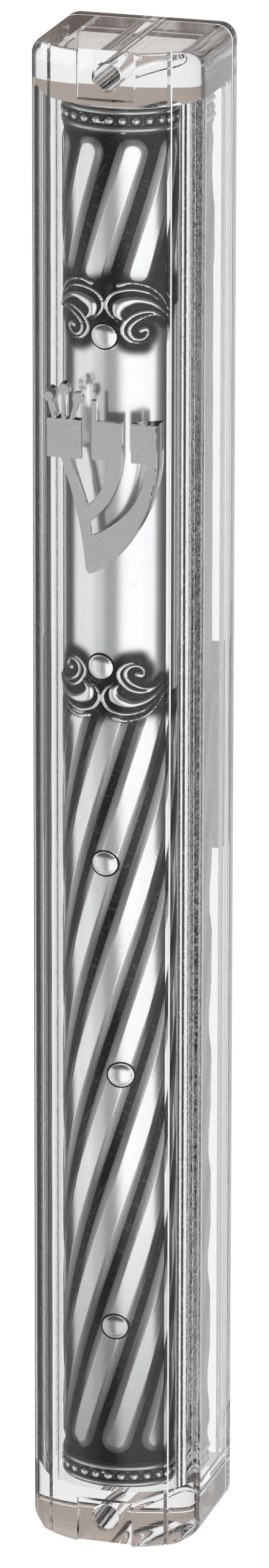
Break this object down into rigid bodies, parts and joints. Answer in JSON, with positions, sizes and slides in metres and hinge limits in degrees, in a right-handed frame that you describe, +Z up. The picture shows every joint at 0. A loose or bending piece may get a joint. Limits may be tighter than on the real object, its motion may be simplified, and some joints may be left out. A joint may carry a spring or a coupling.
{
  "type": "mezuzah case",
  "caption": "Tall clear moulded case with a convex front, a raised foil letter shin, a flush clear back cover and a half-round embossed silver insert that shields a rolled parchment.",
  "frame": {"origin": "centre of the adhesive pad's rear face, the face that holds the case to the doorpost", "axes": "+Z up the case, -Y out of the convex front, +Y into the doorpost, +X to the right seen from the front"},
  "size_m": [0.0204, 0.02, 0.18],
  "materials": {
    "clear_body": "clear polished polystyrene",
    "clear_cover": "clear polystyrene, moulded gloss",
    "silver_sheet": "embossed satin sheet with darkened recesses",
    "silver_foil": "hot-stamped satin foil",
    "foam_pad": "double-sided foam tape"
  },
  "bodies": {
    "back": {"back_cover": "clear_cover", "adhesive_pad": "foam_pad"},
    "case": {"front_body": "clear_body", "shin_foil": "silver_foil"},
    "insert": {"embossed_insert": "silver_sheet"}
  },
  "joints": [
    {"name": "front_off", "type": "slide", "parent": "back", "child": "case", "axis": [0, -1, 0], "range_m": [0, 0.04]},
    {"name": "insert_out", "type": "slide", "parent": "case", "child": "insert", "axis": [0, 1, 0], "range_m": [0, 0.016]}
  ],
  "couplings": [
    {"joint": "insert_out", "follows": "front_off", "ratio": 0.4}
  ]
}
